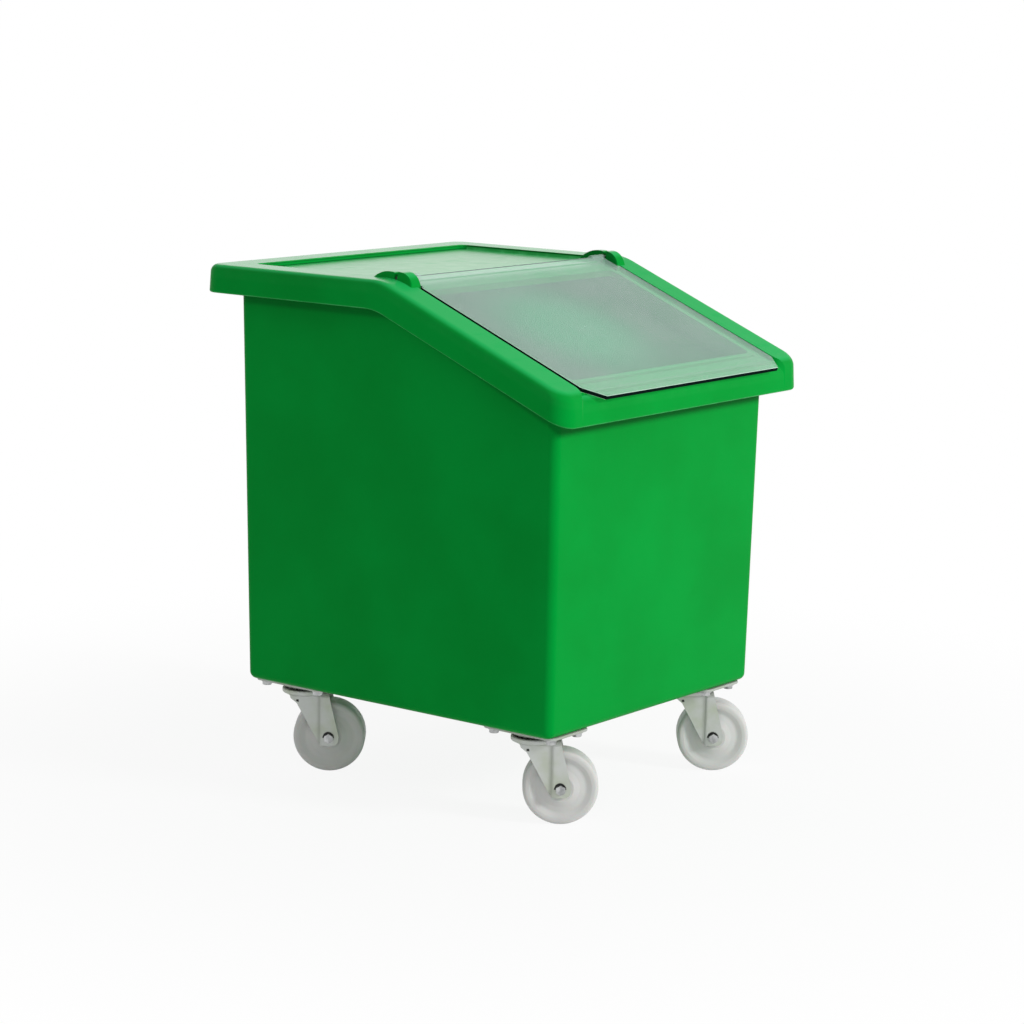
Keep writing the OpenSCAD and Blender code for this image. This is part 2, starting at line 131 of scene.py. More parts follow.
def startFinish(name, **constants):
    # a Principled material; constants go on the shader's own sockets
    material = bpy.data.materials.new(name)
    material.use_nodes = True
    tree = material.node_tree
    shader = tree.nodes["Principled BSDF"]
    for key, value in constants.items():
        shader.inputs[key.replace("_", " ")].default_value = value
    place = Wire(tree, tree.nodes.new("ShaderNodeTexCoord").outputs["Object"])
    return material, place


def grey(level):
    return (level, level, level, 1)


# Finishes

green = {
    "deep": (0.0, 0.28, 0.030, 1), "fresh": (0.0, 0.335, 0.040, 1), "rubbedOrLit": (0.10, 0.58, 0.20, 1),
    "wornOrPaintedLight": (0.015, 0.49, 0.11, 1), "shade": (0.0, 0.07, 0.010, 1), "gloss": (0.0, 0.7, 0.25, 1),
    "specular": 0.02, "coatRoughness": 0.24, "satin": 0.04, "polish": 0.85,
    "paintedLightTop": (0.55, 0.92), "polishedTop": (0.935, 1.0),
    "cloudLumps": 7, "speckleLumps": 900, "speckled": 0.2, "wearLumps": 60, "wearOrHighlight": 0.14,
    "roughness": 0.30, "scuffLumps": 30, "scuffed": 0.10, "clouded": 0.05,
    "peel": 0.05, "peelLumps": 330, "pitLumps": 1300, "pits": 0.25,
}


def greenFinish():
    # two greens in slow clouds, painted paler where it faces up as painted light, then lighter or darker by the
    # rubOrPaintedLight attribute of each point
    g = green
    material, place = startFinish("green_moulding", Specular_IOR_Level=g["specular"],
                                  Specular_Tint=g["gloss"], Coat_Roughness=g["coatRoughness"])
    clouds = place.noise(g["cloudLumps"], 3.0)
    speckle = place.noise(g["speckleLumps"], 1.0)
    mottle = clouds.above(0.3, 0.7) * (1 - g["speckled"]) + speckle * g["speckled"]
    colour = mottle.tint(g["deep"], g["fresh"])
    facing = place.node("ShaderNodeNewGeometry", {}, {}, "Normal")
    upward = place.node("ShaderNodeSeparateXYZ", {}, {0: facing}, "Z")
    # painted light: faces that point up get a paler green
    colour = upward.above(*g["paintedLightTop"]).tint(colour, g["wornOrPaintedLight"])
    rubOrPaintedLight = place.rubbedOrLit()
    patches = place.noise(g["wearLumps"], 3.0).above(0.42, 0.68)
    wearOrHighlight = rubOrPaintedLight * (0.5 + 0.5 * patches)  # above 0: a lighter top edge and painted highlights, broken up
    shade = (0 - rubOrPaintedLight).above(0.0, 1.0)  # below 0: painted shade in the recess, on the ears' flanks and under the skirt
    shade.tint((g["wearOrHighlight"] * wearOrHighlight).tint(colour, g["rubbedOrLit"]), g["shade"]).into("Base Color")
    (g["satin"] + g["polish"] * upward.above(*g["polishedTop"])).into("Coat Weight")
    scuffs = place.noise(g["scuffLumps"], 4.0, (1, 1, 6)).above(0.52, 0.75)
    (g["roughness"] + g["scuffed"] * scuffs + g["clouded"] * clouds).into("Roughness")
    peel = place.noise(g["peelLumps"], 2.0) + g["pits"] * place.noise(g["pitLumps"], 1.0)
    peel.bump(g["peel"]).into("Normal")
    return material


clear = {
    "haze": (0.55, 0.88, 0.72, 1), "smudge": (0.61, 0.87, 0.75, 1), "lit": (0.72, 0.95, 0.82, 1),
    "edge": (0.004, 0.010, 0.009, 1), "ior": 1.58,
    "greenerPatch": (0.42, 0.95, 0.66, 1), "greenerPatchAt": (-0.055, -0.130, 0.512), "greenerPatchRange": (0.03, 0.13),
    "alpha": 0.30, "smudgeAlpha": 0.04, "greenerPatchAlpha": 0.09, "litAlpha": 0.4,
    "roughness": 0.10, "smeared": 0.08, "scratched": 0.12,
    "smudgeLumps": 11, "scratchLumps": 240, "waveLumps": 14, "wave": 0.05,
}


def clearFinish():
    # hazy sheet; rubOrPaintedLight 0.4 is a painted highlight on a bevel, 1 a cut face painted black from
    # outside, 2 a face painted black both ways
    c = clear
    material, place = startFinish("clear_sheet", IOR=c["ior"])
    smudges = place.noise(c["smudgeLumps"], 3.0).above(0.35, 0.7)
    rubOrPaintedLight = place.rubbedOrLit()
    inside = place.node("ShaderNodeNewGeometry", {}, {}, "Backfacing")
    # painted black: cut faces seen from outside stand in for the dark look of a clear sheet's edge
    edge = rubOrPaintedLight.above(0.55, 0.75) * (1 - inside)
    edge = edge.maths("MAXIMUM", edge, rubOrPaintedLight.above(1.5, 1.8))
    # painted highlight: bevels get a paler, more opaque colour
    lit = rubOrPaintedLight.above(0.02, 0.15) * (1 - edge) * (1 - inside)
    away = place.node("ShaderNodeVectorMath", {"operation": "DISTANCE"}, {0: place, 1: c["greenerPatchAt"]}, "Value")
    greenerPatch = (1 - away.above(*c["greenerPatchRange"])) * (1 - 0.3 * smudges)  # greener and more opaque round one place, less so where smudged
    haze = greenerPatch.tint(smudges.tint(c["haze"], c["smudge"]), c["greenerPatch"])
    lit.tint(haze, c["lit"]).into("Base Color")
    scratches = place.noise(c["scratchLumps"], 2.0, (1, 0.06, 1)).above(0.62, 0.8)
    (c["roughness"] + c["smeared"] * smudges + c["scratched"] * scratches).into("Roughness")
    cover = c["alpha"] + c["smudgeAlpha"] * smudges + c["greenerPatchAlpha"] * greenerPatch + c["litAlpha"] * lit
    cover.into("Alpha")
    (0.3 * scratches + place.noise(c["waveLumps"], 1.0)).bump(c["wave"]).into("Normal")
    # black diffuse for the painted black faces
    black = edge.node("ShaderNodeBsdfDiffuse", {}, {"Color": c["edge"]})
    whole = edge.node("ShaderNodeMixShader", {}, {0: edge, 1: edge.shaded(), 2: black})
    whole.into("Surface", "Material Output")
    return material


zinc = {
    "bright": (0.60, 0.62, 0.60, 1), "passivated": (0.52, 0.56, 0.47, 1), "paintedShadeTone": (0.20, 0.22, 0.18, 1),
    "black": (0.012, 0.012, 0.012, 1), "metal": 0.35, "roughness": 0.38, "bloomed": 0.16, "grained": 0.08,
    "bloomLumps": 45, "grainLumps": 700, "dentLumps": 160, "relief": 0.04,
}


def zincFinish():
    # plating with pale blooms; rubOrPaintedLight up to 1 is painted shade that darkens it, and 2 is painted
    # black in punched holes and for the shadow at the bolts
    z = zinc
    material, place = startFinish("zinc_plate", Metallic=z["metal"])
    bloom = place.noise(z["bloomLumps"], 3.0)
    rubOrPaintedLight = place.rubbedOrLit()
    plated = bloom.above(0.35, 0.7).tint(z["bright"], z["passivated"])
    paintedBlack = rubOrPaintedLight.above(1.2, 1.7)
    paintedBlack.tint(rubOrPaintedLight.tint(plated, z["paintedShadeTone"]), z["black"]).into("Base Color")
    grain = place.noise(z["grainLumps"], 2.0, (1, 1, 0.15))
    (z["roughness"] + z["bloomed"] * bloom + z["grained"] * grain).into("Roughness")
    (grain + place.noise(z["dentLumps"], 2.0)).bump(z["relief"]).into("Normal")
    return material


steel = {
    "colour": (0.55, 0.56, 0.56, 1), "stain": (0.30, 0.31, 0.31, 1), "range": (0.35, 0.7), "lumps": 120,
    "roughness": 0.26, "dulled": 0.18, "grain": (1400, 2.0, (1, 1, 0.1)), "relief": 0.015,
}
# dark steel: grease, and painted shade on the balls and king pins in the gap between the races
greaseAndShade = {
    "colour": (0.012, 0.012, 0.011, 1), "stain": (0.05, 0.05, 0.05, 1), "range": (0.4, 0.7), "lumps": 260,
    "roughness": 0.30, "dulled": 0.25, "grain": (260, 3.0), "relief": 0.08,
}


def metalFinish(name, look, **constants):
    # two colours by one slow noise, which also dulls it, and a fine grain
    material, place = startFinish(name, **constants)
    stain = place.noise(look["lumps"], 3.0)
    stain.above(*look["range"]).tint(look["colour"], look["stain"]).into("Base Color")
    (look["roughness"] + look["dulled"] * stain).into("Roughness")
    place.noise(*look["grain"]).bump(look["relief"]).into("Normal")
    return material


nylon = {
    "clean": (0.68, 0.68, 0.665, 1), "darkTone": (0.54, 0.54, 0.52, 1), "soil": 0.35, "ior": 1.53,
    "glow": 0.12, "glowDepth": 0.004, "roughness": 0.42, "dulled": 0.14,
    "dustLumps": 35, "treadLumps": 90, "grainLumps": 520, "relief": 0.03,
}


def nylonFinish():
    # white plastic that lets a little light in; darker in patches all over and in patches on the tread
    n = nylon
    material, place = startFinish("white_nylon", IOR=n["ior"], Subsurface_Weight=n["glow"],
                                  Subsurface_Scale=n["glowDepth"])
    dust = place.noise(n["dustLumps"], 4.0).above(0.45, 0.8)
    tread = place.rubbedOrLit() * place.noise(n["treadLumps"], 3.0)
    (n["soil"] * (dust + tread)).tint(n["clean"], n["darkTone"]).into("Base Color")
    (n["roughness"] + n["dulled"] * dust).into("Roughness")
    place.noise(n["grainLumps"], 2.0).bump(n["relief"]).into("Normal")
    return material


finishes = {
    "green_moulding": greenFinish(), "clear_sheet": clearFinish(), "zinc": zincFinish(),
    "nylon": nylonFinish(), "steel": metalFinish("bright_steel", steel, Metallic=1.0),
    "greaseAndShade": metalFinish("greased_and_shaded_steel", greaseAndShade, IOR=1.47),
}
print("finishes made:", len(finishes))


# Surfaces

def joined(*arrays, axis=0):
    # arrays one after the other
    return np.concatenate(arrays, axis)


def gridQuads(rows, columns, closeRows=False, closeColumns=False):
    # faces of a grid of points that is stored row by row
    row = np.arange(rows if closeRows else rows - 1)[:, None]
    column = np.arange(columns if closeColumns else columns - 1)[None, :]
    nextRow = (row + 1) % rows
    nextColumn = (column + 1) % columns
    corners = [row * columns + column, row * columns + nextColumn,
               nextRow * columns + nextColumn, nextRow * columns + column]
    return np.stack(corners, -1).reshape(-1, 4)


def gridSurface(points, rubOrPaintedLight=None, closeRows=False, closeColumns=True):
    # one surface: its points, faces and how rubbed each point is
    rows, columns = points.shape[:2]
    wornOrPaintedLight = np.zeros((rows, columns)) if rubOrPaintedLight is None else np.broadcast_to(rubOrPaintedLight, (rows, columns))
    return points.reshape(-1, 3), gridQuads(rows, columns, closeRows, closeColumns), wornOrPaintedLight.reshape(-1)


def capped(points, shares):
    # closes a grid with rings shrunk towards Z by rising shares, before its first row and after its last
    shrink = np.array([(share, share, 1) for share in shares])[:, None]
    return joined(points[:1] * shrink, points, points[-1:] * shrink[::-1])


def moved(surface, matrix):
    # the same surface after a 4 by 4 placing matrix
    points, quads, rubOrPaintedLight = surface
    return points @ matrix[:3, :3].T + matrix[:3, 3], quads, rubOrPaintedLight


def placing(alongX, alongY, alongZ, at):
    # placing matrix from where the three axes point, and a place
    return np.vstack([np.column_stack([alongX, alongY, alongZ, at]), (0, 0, 0, 1)])


def turned(angle, at):
    # placing matrix: a turn about Z in radians, then a move
    c, s = np.cos(angle), np.sin(angle)
    return placing((c, s, 0), (-s, c, 0), (0, 0, 1), at)


def added(name, data):
    # a new object in the scene
    thing = bpy.data.objects.new(name, data)
    bpy.context.scene.collection.objects.link(thing)
    return thing


meshing = {"weld": 0.002, "sliver": 0.001, "crease": 35}


def makePiece(name, surfaces, body, slot, stands):
    # joins surfaces given in mm into one mesh, rides it on a body and hides the nodes it stands for
    points, quads, rubOrPaintedLight = zip(*surfaces)
    starts = np.cumsum([0] + [len(part) for part in points])
    used, flat = np.unique(joined(*map(np.add, quads, starts)), return_inverse=True)
    mesh = bpy.data.meshes.new(name)
    mesh.from_pydata((joined(*points)[used] * mm).tolist(), [], flat.reshape(-1, 4).tolist())
    rubOrPaintedLight = joined(*rubOrPaintedLight)[used]
    mesh.attributes.new("rubOrPaintedLight", "FLOAT", "POINT").data.foreach_set("value", rubOrPaintedLight.astype(np.float32))
    work = bmesh.new()
    work.from_mesh(mesh)
    bmesh.ops.remove_doubles(work, verts=work.verts, dist=meshing["weld"] * mm)
    bmesh.ops.dissolve_degenerate(work, edges=work.edges, dist=meshing["sliver"] * mm)
    bmesh.ops.recalc_face_normals(work, faces=work.faces)
    work.to_mesh(mesh)
    work.free()
    mesh.polygons.foreach_set("use_smooth", np.ones(len(mesh.polygons), bool))
    mesh.set_sharp_from_angle(angle=np.radians(meshing["crease"]))
    mesh.materials.append(finishes[slot])
    piece = added(name, mesh)
    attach(piece, body)
    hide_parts(*stands)
    return piece


def stepUp(value, at, half):
    # smooth step from 0 at (at - half) to 1 at (at + half)
    t = np.clip((value - at + half) / (2 * half), 0, 1)
    return t * t * (3 - 2 * t)


def band(value, start, startHalf, end, endHalf):
    # 1 between two smooth steps: up at `start`, down at `end`
    return stepUp(value, start, startHalf) * (1 - stepUp(value, end, endHalf))


def spread(start, *stretches):
    # rising list of places from `start`, in stretches of (end, largest step)
    runs = []
    for end, step in stretches:
        runs.append(np.linspace(start, end, max(2, int(np.ceil((end - start) / step)) + 1)))
        start = end
    return np.unique(np.round(np.concatenate(runs), 4))


def filleted(corners, steps=6):
    # outline through (a, b, radius) corners, each rounded by an arc of that radius
    xy = np.array([c[:2] for c in corners], float)
    out = [xy[:1]]
    for k in range(1, len(corners) - 1):
        before = (xy[k - 1] - xy[k]) / np.linalg.norm(xy[k - 1] - xy[k])
        after = (xy[k + 1] - xy[k]) / np.linalg.norm(xy[k + 1] - xy[k])
        half = np.arccos(np.clip(before @ after, -1, 1)) / 2
        radius = corners[k][2]
        if radius == 0 or half > np.radians(89.5):
            out.append(xy[k:k + 1])
            continue
        middle = xy[k] + (before + after) / np.linalg.norm(before + after) * radius / np.sin(half)
        first = xy[k] + before * radius / np.tan(half) - middle
        last = xy[k] + after * radius / np.tan(half) - middle
        t = np.linspace(0, 1, steps + 1)[:, None]
        turn = np.pi - 2 * half
        out.append(middle + (np.sin((1 - t) * turn) * first + np.sin(t * turn) * last) / np.sin(turn))
    out.append(xy[-1:])
    return np.concatenate(out)


def aroundZ(radius, angle, height):
    # points at a radius and a height for each angle about Z
    return np.stack([radius * np.cos(angle), radius * np.sin(angle), height + 0 * angle], -1)


def lathe(profile, count, rubOrPaintedLight=None, closeRows=False):
    # (radius, height) outline turned about Z; closeRows joins its last point to its first
    points = aroundZ(profile[:, :1], np.linspace(0, 2 * np.pi, count, endpoint=False), profile[:, 1:2])
    return gridSurface(points, None if rubOrPaintedLight is None else rubOrPaintedLight[:, None], closeRows)


def ringFrame(acrossShares, alongShares, arcSteps):
    # once round a rounded rectangle: shares of its corner centres, and the outward normals
    arc = np.linspace(0, np.pi / 2, arcSteps + 2)[1:-1]
    flat = [(acrossShares, -1, 0, -1), (1, alongShares, 1, 0),
            (acrossShares[::-1], 1, 0, 1), (-1, alongShares[::-1], -1, 0)]
    corner = [(1, -1, -np.pi / 2), (1, 1, 0), (-1, 1, np.pi / 2), (-1, -1, np.pi)]
    parts = []
    for (sx, sy, nx, ny), (cx, cy, start) in zip(flat, corner):
        side = np.broadcast_arrays(sx, sy, nx, ny)
        bend = np.broadcast_arrays(cx, cy, np.cos(start + arc), np.sin(start + arc))
        parts += [np.stack(side, -1).astype(float), np.stack(bend, -1).astype(float)]
    return np.concatenate(parts).T


# Hood

hood = {
    "slope": 22.2, "bend": 13, "corner": 22, "edge": 8.5, "draft": 1.2, "wall": 4, "skirt": 30.5,
    "lip": 1.6, "rail": 42, "rearRail": 41, "recess": 6, "recessCorner": 8, "recessWall": 0.9,
    "flare": 9, "flareRun": 16, "ledgeSide": 15, "ledgeTop": 20, "ledgeFront": 33,
    "hump": 7, "rearHump": 35, "frontHump": 17, "rearCrest": 9.5, "frontCrest": 5,
    "earOut": 10.5, "bossIn": 5, "bossBack": 5, "earFlank": 1.0, "slot": 3.8, "hingeBack": 2,
    "bayBack": 5, "panelRise": 1, "sill": 2, "sillWide": 5, "earShade": 0.5, "edgeLighter": 0.25, "lipHighlight": 4,
}
recessLines = {  # painted light and shade lines: strength, then start and end by share of the recess's depth, each with its softness
    "rim": (5, 0.03, 0.02, 0.12, 0.05), "under": (0.8, 0.16, 0.04, 0.34, 0.06),
    "sideEdge": (0.9, 0.03, 0.02, 0.3, 0.08), "sideFoot": (6, 0.4, 0.06, 0.97, 0.02),
    "base": (0.74, 0.06), "baseEnd": (0.6, 0.2), "inset": 0.8,
}
gridStep = {"open": 14, "rim": 3, "front": 2.5, "ledge": 2, "arc": 1, "brow": 0.8, "ear": 0.7, "fine": 0.6,
            "slot": 0.3, "wall": 0.25}
hoodHigh = reach("hood")[1]
hoodHalf, hoodDeep = hoodHigh[:2]
topLevel = hoodHigh[2] - hood["hump"]
hinge = jointAt["flap_hinge"]
topBreak = hinge[1] - hood["hingeBack"]
slopeTan = np.tan(np.radians(hood["slope"]))
halfTan = np.tan(np.radians(hood["slope"] / 2))
recessHalf = hoodHalf - hood["rail"]
recessBack = hoodDeep - hood["rearRail"]
windowHalf = recessHalf - hood["ledgeSide"]
windowFront = hood["ledgeFront"] - hoodDeep
windowBack = topBreak - hood["ledgeTop"]
cornerX, cornerY = hoodHalf - hood["corner"], hoodDeep - hood["corner"]  # centres of the round corners


def sheetZ(y, under):
    # height of the sheet `under` mm below the hood's top: flat, a soft bend, then the slope
    ahead = topBreak + under * halfTan - y
    bend = hood["bend"]
    fall = np.where(np.abs(ahead) < bend, (ahead + bend) ** 2 / (4 * bend), np.maximum(ahead, 0))
    return topLevel - under - slopeTan * fall


def recessDepth(x, y, grow=0.0):
    # depth of the recess: a rounded outline, open at the front, where its side walls flare out;
    # the panel behind the hinge lies one step higher than the flap's bay
    run = np.clip((hood["flareRun"] - hoodDeep - y) / hood["flareRun"], 0, 1)
    side = np.abs(x) - recessHalf - hood["flare"] * run ** 2 - grow
    back = y - recessBack - grow
    r = hood["recessCorner"] + grow
    outside = np.hypot(np.maximum(side + r, 0), np.maximum(back + r, 0))
    outside = outside + np.minimum(np.maximum(side, back) + r, 0) - r
    floor = hood["recess"] - hood["panelRise"] * stepUp(y, hinge[1] + hood["bayBack"], 0.5)
    return floor * stepUp(-outside, 0, hood["recessWall"])


def recessPaintedLines(x, y):
    # painted light and shade by share of the recess's depth: at the back a painted highlight on the rim,
    # a painted shade line under it and one along the base; at the sides painted shade along the upper edge and
    # a foot painted lighter
    r = recessLines
    share = recessDepth(x, y) / hood["recess"]
    smaller = recessDepth(x, y, -r["inset"]) / hood["recess"]
    line = {name: r[name][0] * band(share, *r[name][1:]) for name in ("rim", "under", "sideEdge", "sideFoot")}
    base = stepUp(share, *r["base"]) * (1 - stepUp(smaller, *r["baseEnd"]))
    back = line["rim"] - np.maximum(line["under"], base)
    return np.where(y < recessBack - hood["recessCorner"], line["sideFoot"] - line["sideEdge"], back)


def earPaintedShade(x, y):
    # painted shade on the inner flanks of the ears, where they drop to the bay and to the panel
    ax = np.abs(x)
    toBay = (np.abs(ax - recessHalf + hood["bossIn"]) < 1.6 * hood["earFlank"]) & (y < hinge[1])
    toPanel = (np.abs(ax - recessHalf) < 1.6 * hood["earFlank"]) & (y > hinge[1])
    return -hood["earShade"] * (toBay | toPanel)


def sillRise(x, y):
    # raised ring round the window: full height up to its width away from the window, then a steep fall
    side = np.maximum(np.abs(x) - windowHalf, 0)
    end = np.maximum(np.maximum(windowFront - y, y - windowBack), 0)
    return hood["sill"] * stepUp(hood["sillWide"] - np.hypot(side, end), 0, 0.6)


def humpTop(offset, radius, crest):
    # upper half of a circle whose top is at `crest`, and far below outside it
    inside = np.abs(offset) < radius
    return np.where(inside, crest - radius + np.sqrt(np.maximum(radius ** 2 - offset ** 2, 0)), -crest)


def earRise(x, y, ground):
    # two humps over each rail, a slot between them for the pin, and a boss over the bay
    ax = np.abs(x)
    flank = hood["earFlank"]
    crest = topLevel + hood["hump"]
    fromRear = y - hinge[1] - hood["rearCrest"]
    fromFront = y - hinge[1] + hood["frontCrest"]
    rear = humpTop(fromRear, hood["rearHump"], crest)
    front = humpTop(fromFront, hood["frontHump"], crest)
    outer = 1 - stepUp(ax, recessHalf + hood["earOut"], flank)
    overRail = stepUp(ax, recessHalf, flank)
    overBay = stepUp(ax, recessHalf - hood["bossIn"], flank)
    overBay = overBay * stepUp(hinge[1] - hood["bossBack"] - y, 0, flank)
    rearRise = np.maximum(rear - ground, 0) * overRail * outer * (y > hinge[1])
    frontRise = np.maximum(front - ground, 0) * np.maximum(overRail, overBay) * outer * (y <= hinge[1])
    slot = 1 - stepUp(np.abs(y - hinge[1]), hood["slot"] / 2, 0.5)
    seat = (ground - hinge[2]) * overRail * outer
    return (rearRise + frontRise) * (1 - slot) - np.maximum(seat, 0) * slot


def hoodGridLines():
    # places of the grid: close together at the ears, the recess walls and the window's corners
    g = gridStep
    r = hood["recessCorner"]
    right = spread(0, (windowHalf - r, g["open"]), (windowHalf, g["arc"]), (recessHalf - 12, g["ledge"]),
                   (recessHalf - 2, g["fine"]), (recessHalf + 2, g["wall"]), (recessHalf + 13, g["fine"]),
                   (cornerX, g["rim"]))
    pin = hinge[1]
    along = spread(-cornerY, (windowFront - 8, g["front"]), (windowFront, g["fine"]),
                   (windowFront + r, g["arc"]), (windowBack - r, g["open"]), (windowBack, g["arc"]),
                   (pin - 34, g["brow"]), (pin - 4, g["ear"]), (pin + 6, g["slot"]), (pin + 34, g["ear"]),
                   (recessBack - 11, g["open"]), (recessBack - 2, g["fine"]), (recessBack + 2, g["wall"]),
                   (recessBack + 4, g["fine"]), (cornerY, g["rim"]))
    return np.unique(joined(-right, right)), along


def roundWindow(x, y):
    # pulls the corner points of the window's edge onto arcs
    r = hood["recessCorner"]
    for edge, sign in ((windowFront, -1), (windowBack, 1)):
        a = windowHalf - np.abs(x)
        b = sign * (edge - y)
        onSide = (np.abs(a) < 1e-3) & (b > -1e-3) & (b < r)
        onEnd = (np.abs(b) < 1e-3) & (a > -1e-3) & (a < r)
        turn = np.pi / 4 * (1 - np.where(onSide, b, a) / r)
        long = r - r * np.cos(turn)
        short = r - r * np.sin(turn)
        newA = np.where(onSide, long, np.where(onEnd, short, a))
        newB = np.where(onSide, short, np.where(onEnd, long, b))
        hit = onSide | onEnd
        x = np.where(hit, np.sign(x) * (windowHalf - newA), x)
        y = np.where(hit, edge - sign * newB, y)
    return x, y


def hoodSurfaces():
    # height over a flat grid for the top, the same less the wall for the underside, and rings of one section
    # (round top edge, skirt, lip, inner wall) carried round the outline
    across, along = hoodGridLines()
    x, y = np.meshgrid(across, along)
    midX = (across[1:] + across[:-1]) / 2
    midY = (along[1:] + along[:-1]) / 2
    hole = (np.abs(midX)[None, :] < windowHalf) & (midY[:, None] > windowFront) & (midY[:, None] < windowBack)
    x, y = roundWindow(x, y)

    # top and underside over the same grid, with the window left out
    ground = sheetZ(y, recessDepth(x, y) - sillRise(x, y))
    ear = earRise(x, y, ground)
    top = np.stack([x, y, ground + ear], -1)
    under = np.stack([x, y, sheetZ(y, hood["wall"] + recessDepth(x, y, hood["wall"] - 1))], -1)
    quads = gridQuads(*x.shape)[~hole.reshape(-1)]
    wornOrPaintedLight = np.where(ear > 0.4, earPaintedShade(x, y), recessPaintedLines(x, y))
    surfaces = [(top.reshape(-1, 3), quads, wornOrPaintedLight.reshape(-1)),
                (under.reshape(-1, 3), quads[:, ::-1], np.zeros(x.size))]

    # walls of the window between the two, from the edges of the missing cells
    index = np.arange(x.size).reshape(x.shape)
    framed = np.pad(hole, 1)
    rise = framed[1:, 1:-1] != framed[:-1, 1:-1]
    side = framed[1:-1, 1:] != framed[1:-1, :-1]
    edges = joined(
        np.stack([index[:, :-1][rise], index[:, 1:][rise]], -1),
        np.stack([index[:-1, :][side], index[1:, :][side]], -1))
    walls = joined(edges, edges[:, ::-1] + x.size, axis=-1)
    surfaces.append((joined(top.reshape(-1, 3), under.reshape(-1, 3)), walls, np.zeros(2 * x.size)))

    # outside and inside of the rim: rows of rings, each at its own distance from the corner centres
    sx, sy, nx, ny = ringFrame(across / cornerX, along / cornerY, 9)
    turn = np.linspace(0, np.pi / 2, 8)
    corner, edge, wall, lip = hood["corner"], hood["edge"], hood["wall"], hood["lip"]

    def ringAt(radius):
        # x and y once round, at a distance from the corner centres
        return sx * cornerX + radius * nx, sy * cornerY + radius * ny

    def roundedOff(end, soft):
        # distances from the corner centres out to `end`, flat and then a round edge, and the drop of each
        flat = spread(0, (end - soft, 2.5))[:-1]
        return (joined(flat, end - soft + soft * np.sin(turn)),
                joined(0 * flat, soft * (1 - np.cos(turn))))

    topR, topDrop = roundedOff(corner - hood["draft"], edge)
    ringX, ringY = ringAt(topR[:, None])
    topZ = sheetZ(ringY, recessDepth(ringX, ringY)) - topDrop[:, None]
    fallShare = np.linspace(0, 1, 7)[1:, None]
    skirtR = corner - hood["draft"] * (1 - fallShare)
    lowZ = sheetZ(ringAt(corner)[1], hood["skirt"])
    skirtZ = topZ[-1] + (lowZ + lip - topZ[-1]) * fallShare
    lipTurn = np.linspace(0, np.pi, 7)[1:, None]
    lipR = corner - wall / 2 + (wall / 2) * np.cos(lipTurn)
    lipZ = lowZ + lip - lip * np.sin(lipTurn)
    innerR, innerDrop = (rows[::-1] for rows in roundedOff(corner - wall, edge - wall))
    inX, inY = ringAt(innerR[:, None])
    innerZ = sheetZ(inY, wall + recessDepth(inX, inY, wall - 1)) - innerDrop[:, None]
    riseShare = np.linspace(0, 1, 6)[1:-1, None]
    wallZ = lipZ[-1] + (innerZ[0] - lipZ[-1]) * riseShare
    rows = joined(topR[:, None], skirtR, lipR, 0 * riseShare + corner - wall, innerR[:, None])
    heights = joined(topZ, skirtZ, lipZ, wallZ, innerZ)
    points = np.stack([*ringAt(rows), heights], -1)
    rubOrPaintedLight = np.zeros(len(rows))
    # the round top edge is a little lighter
    rubOrPaintedLight[len(topR) - len(turn) + 1:len(topR) + 1] = hood["edgeLighter"]
    # painted highlight: a bright line along the skirt's lower lip
    lipStart = len(topR) + len(skirtR)
    rubOrPaintedLight[lipStart:lipStart + 3] = hood["lipHighlight"]
    surfaces.append(gridSurface(points, rubOrPaintedLight[:, None]))
    return surfaces


makePiece("hood_shell", hoodSurfaces(), "hood_body", "green_moulding", ["hood"])
print("hood made")


# Tub

tub = {
    "draft": 0.8, "corner": 10, "base": 8, "wall": 4.5, "flange": 20.5, "flangeSheet": 4, "flangeRound": 1.2,
    "gap": 0.3, "root": 4, "mouth": 2, "frontDrop": 6, "stepRun": 5, "bossRise": 9.5, "boss": 9,
    "bossRound": 1.5, "bossRoot": 1, "skirtShadow": (-6, 4, 12.5, 3.5), "skirtShadowStrength": 0.45,
    "capRings": (0, 0.5, 0.97),
}


